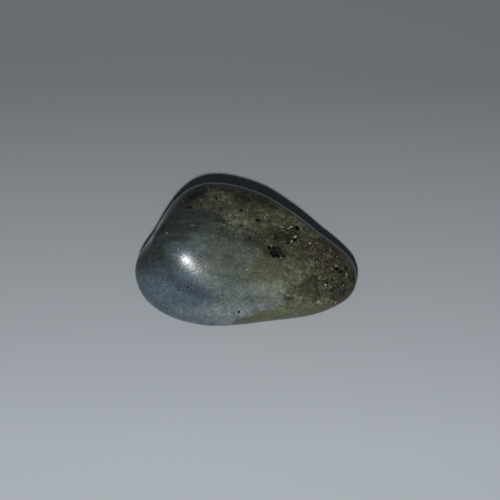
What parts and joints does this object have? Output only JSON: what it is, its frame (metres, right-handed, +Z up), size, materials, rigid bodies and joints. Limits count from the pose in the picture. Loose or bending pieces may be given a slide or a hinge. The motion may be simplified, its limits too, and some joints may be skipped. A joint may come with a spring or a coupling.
{
  "type": "tumbled labradorite",
  "caption": "Thumb-sized tumbled feldspar pebble: rounded teardrop with a high blunt heel, a low narrow tip, plucked pits and a small worn flat to rest on.",
  "frame": {"origin": "bottom centre of the stone's bounding box, on the plane of the worn flat that it rests on", "axes": "+X along the length towards the narrow tip, +Y across the width, +Z up, away from the worn flat"},
  "size_m": [0.0298, 0.0194, 0.0121],
  "materials": {
    "labradorite": "glossy tumbled polish over dark grey-green feldspar, with a blue-grey sheen at the heel, olive clouds towards the tip, black grains and bright cleavage flecks"
  },
  "bodies": {
    "root": {"labradorite": "labradorite"}
  },
  "joints": []
}
